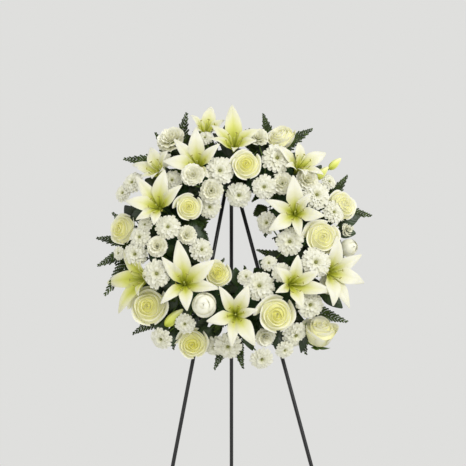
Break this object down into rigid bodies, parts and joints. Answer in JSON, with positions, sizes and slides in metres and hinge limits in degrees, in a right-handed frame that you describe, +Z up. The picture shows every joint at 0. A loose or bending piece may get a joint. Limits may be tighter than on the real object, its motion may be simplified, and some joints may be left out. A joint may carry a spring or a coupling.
{
  "type": "standing funeral wreath",
  "caption": "Funeral wreath of lilies, roses, daisy chrysanthemums, carnations and fern in a ring of floral foam, standing on a folding black wire easel.",
  "frame": {"origin": "on the floor, under the middle of the wreath and its easel", "axes": "+Z up, the front of the wreath looks along -Y, +X to the right as seen from the front"},
  "size_m": [0.591, 0.6372, 1.252],
  "materials": {
    "wet_foam": "matt, wet green floral foam",
    "tray_plastic": "dark green moulded plastic, slightly glossy",
    "black_steel": "satin black enamel on steel wire",
    "lily_petal": "waxy cream white petal with a yellow-green throat",
    "rose_petal": "soft cream petal, lemon green at the heart",
    "daisy_petal": "matt white petal with a small olive eye",
    "carnation_petal": "ruffled matt petal, white to greenish cream",
    "fern_frond": "dark green fern, satin",
    "broad_leaf": "dark green leathery leaf, waxy gloss"
  },
  "bodies": {
    "stand": {"foam_ring": "wet_foam", "ring_tray": "tray_plastic", "upper_bar": "black_steel", "lower_bar": "black_steel", "left_rest_peg": "black_steel", "right_rest_peg": "black_steel", "front_left_leg": "black_steel", "front_right_leg": "black_steel", "hinge_pin": "black_steel", "lily_top": "lily_petal", "lily_upper_left": "lily_petal", "lily_upper_right": "lily_petal", "lily_left": "lily_petal", "lily_left_behind": "lily_petal", "lily_right": "lily_petal", "lily_left_side": "lily_petal", "lily_lower_left": "lily_petal", "lily_bottom": "lily_petal", "lily_lower_right": "lily_petal", "lily_right_side": "lily_petal", "rose_top": "rose_petal", "rose_left_edge": "rose_petal", "rose_inner_left": "rose_petal", "rose_right_edge": "rose_petal", "rose_right": "rose_petal", "rose_lower_left": "rose_petal", "rose_inner_bottom": "rose_petal", "rose_lower_right": "rose_petal", "rose_corner_right": "rose_petal", "rose_bottom": "rose_petal", "rose_top_right": "rose_petal", "spray_top": "daisy_petal", "spray_upper_right": "daisy_petal", "spray_inner_top": "daisy_petal", "spray_inner_right": "daisy_petal", "spray_right": "daisy_petal", "spray_left": "daisy_petal", "spray_inner_left": "daisy_petal", "spray_inner_bottom": "daisy_petal", "spray_lower_right": "daisy_petal", "spray_lower_left": "daisy_petal", "spray_bottom": "daisy_petal", "spray_bottom_right": "daisy_petal", "spray_left_top": "daisy_petal", "carnations_upper_left": "carnation_petal", "carnations_upper_right": "carnation_petal", "carnations_right": "carnation_petal", "fern_upper_left": "fern_frond", "fern_top": "fern_frond", "fern_right": "fern_frond", "fern_left": "fern_frond", "fern_lower_left": "fern_frond", "fern_bottom": "fern_frond", "fern_lower_right": "fern_frond", "fern_inner_left": "fern_frond", "fern_inner_right": "fern_frond", "leaves_inner_left": "broad_leaf", "leaves_right": "broad_leaf"},
    "rear_leg": {"back_leg": "black_steel"}
  },
  "joints": [
    {"name": "leg_fold", "type": "hinge", "parent": "stand", "child": "rear_leg", "pos_m": [-0.01225, -0.11051, 1.07847], "axis": [1, 0, 0], "range_deg": [-30, 0]}
  ]
}
